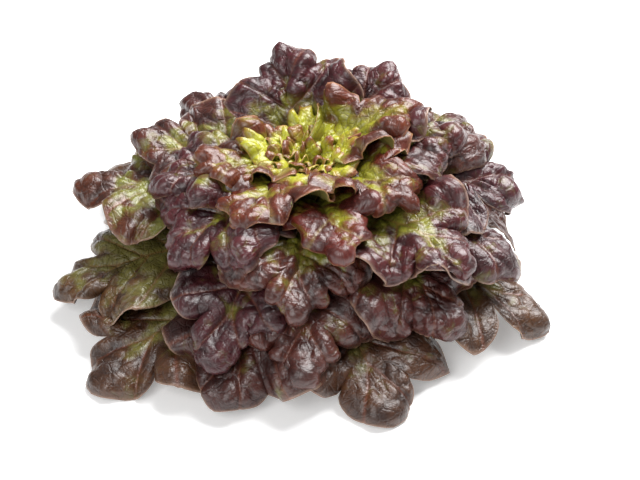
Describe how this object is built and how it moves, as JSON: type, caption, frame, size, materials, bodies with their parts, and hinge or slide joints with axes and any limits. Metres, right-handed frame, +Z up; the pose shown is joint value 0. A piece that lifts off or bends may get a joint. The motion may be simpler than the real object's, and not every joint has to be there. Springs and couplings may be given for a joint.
{
  "type": "red oak leaf lettuce head",
  "caption": "Open head of red oak leaf lettuce: lobed, ruffled dark red leaves in rings round a yellow-green heart, standing on the flat cut end of its stem.",
  "frame": {"origin": "centre of the stem's flat cut face, on the surface that the head stands on", "axes": "+Z up along the stem towards the heart, -Y towards the viewer of the picture, +X to the viewer's right"},
  "size_m": [0.3012, 0.2781, 0.1215],
  "materials": {
    "ground_leaf": "thin leaf, brown-purple and half glossy",
    "outer_leaf": "thin leaf, dark red-purple and half glossy",
    "middle_leaf": "thin leaf, dark red-purple and half glossy",
    "inner_leaf": "thin leaf, green with red-brown lobes, half glossy",
    "heart": "crisp young leaf, bright yellow-green, half glossy",
    "stem": "pale cut stalk, moist and matt"
  },
  "bodies": {
    "root": {"ground_leaf_01": "ground_leaf", "ground_leaf_02": "ground_leaf", "ground_leaf_03": "ground_leaf", "ground_leaf_04": "ground_leaf", "ground_leaf_05": "ground_leaf", "ground_leaf_06": "ground_leaf", "ground_leaf_07": "ground_leaf", "ground_leaf_08": "ground_leaf", "ground_leaf_09": "ground_leaf", "outer_leaf_01": "outer_leaf", "outer_leaf_02": "outer_leaf", "outer_leaf_03": "outer_leaf", "outer_leaf_04": "outer_leaf", "outer_leaf_05": "outer_leaf", "outer_leaf_06": "outer_leaf", "outer_leaf_07": "outer_leaf", "outer_leaf_08": "outer_leaf", "outer_leaf_09": "outer_leaf", "middle_leaf_01": "middle_leaf", "middle_leaf_02": "middle_leaf", "middle_leaf_03": "middle_leaf", "middle_leaf_04": "middle_leaf", "middle_leaf_05": "middle_leaf", "middle_leaf_06": "middle_leaf", "middle_leaf_07": "middle_leaf", "middle_leaf_08": "middle_leaf", "inner_leaf_01": "inner_leaf", "inner_leaf_02": "inner_leaf", "inner_leaf_03": "inner_leaf", "inner_leaf_04": "inner_leaf", "inner_leaf_05": "inner_leaf", "heart": "heart", "stem": "stem"}
  },
  "joints": []
}
